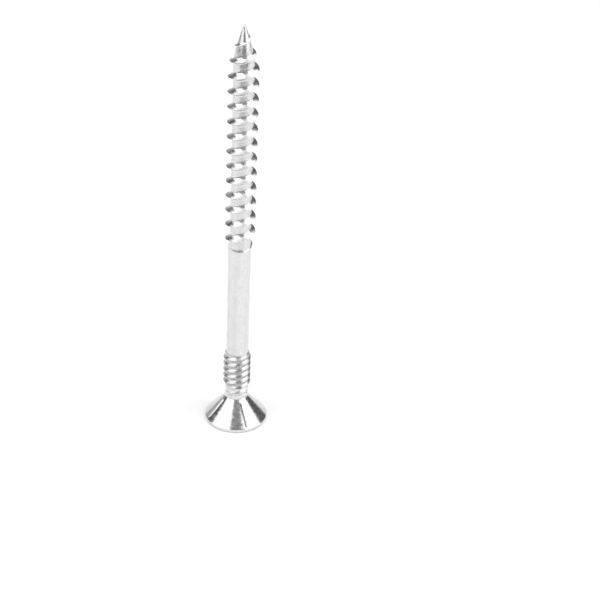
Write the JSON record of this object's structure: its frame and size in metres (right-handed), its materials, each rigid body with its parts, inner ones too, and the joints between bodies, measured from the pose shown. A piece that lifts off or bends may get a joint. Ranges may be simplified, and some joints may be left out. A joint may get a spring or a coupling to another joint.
{
  "type": "countersunk wood screw",
  "caption": "Partly threaded countersunk wood screw with six-lobe recess, cutting ribs, low under-head thread, plain shank and sharp point.",
  "frame": {"origin": "centre of the flat face of the head, which is the bottom of the part", "axes": "+Z along the screw's axis, from the head towards the point; +X and +Y across it"},
  "size_m": [0.01, 0.01, 0.07],
  "materials": {
    "stainless_steel": "bright thread-rolled stainless steel"
  },
  "bodies": {
    "root": {"screw": "stainless_steel"}
  },
  "joints": []
}
